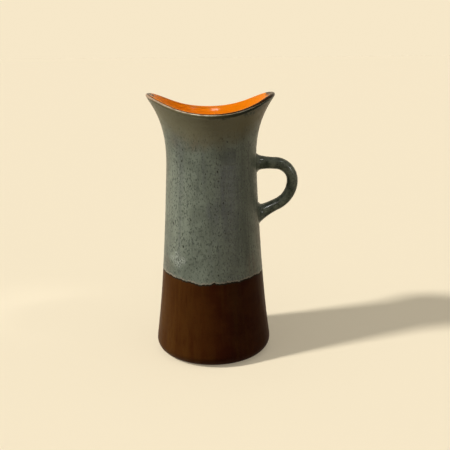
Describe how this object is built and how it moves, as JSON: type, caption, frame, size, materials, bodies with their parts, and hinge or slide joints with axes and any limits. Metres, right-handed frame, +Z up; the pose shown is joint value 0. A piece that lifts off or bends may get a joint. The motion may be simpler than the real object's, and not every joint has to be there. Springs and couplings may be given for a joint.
{
  "type": "stoneware jug",
  "caption": "Tall tapered stoneware jug with a saddle-shaped flared mouth, one side handle, slate glaze over a dark brown base and an orange liner.",
  "frame": {"origin": "the middle of the foot, on the surface that the jug stands on", "axes": "+Z up, +X from the jug's axis towards the handle; the two raised tips of the mouth lie along X"},
  "size_m": [0.1647, 0.1304, 0.2904],
  "materials": {
    "stoneware": "matte",
    "slip": "matte",
    "orange_glaze": "gloss",
    "slate_glaze": "satin",
    "brown_glaze": "satin",
    "rim_glaze": "gloss"
  },
  "bodies": {
    "root": {"clay_body": "stoneware", "handle": "stoneware", "upper_slip_joint": "slip", "lower_slip_joint": "slip", "liner_glaze": "orange_glaze", "slate_glaze": "slate_glaze", "brown_glaze": "brown_glaze", "handle_glaze": "slate_glaze", "rim_glaze": "rim_glaze"}
  },
  "joints": []
}
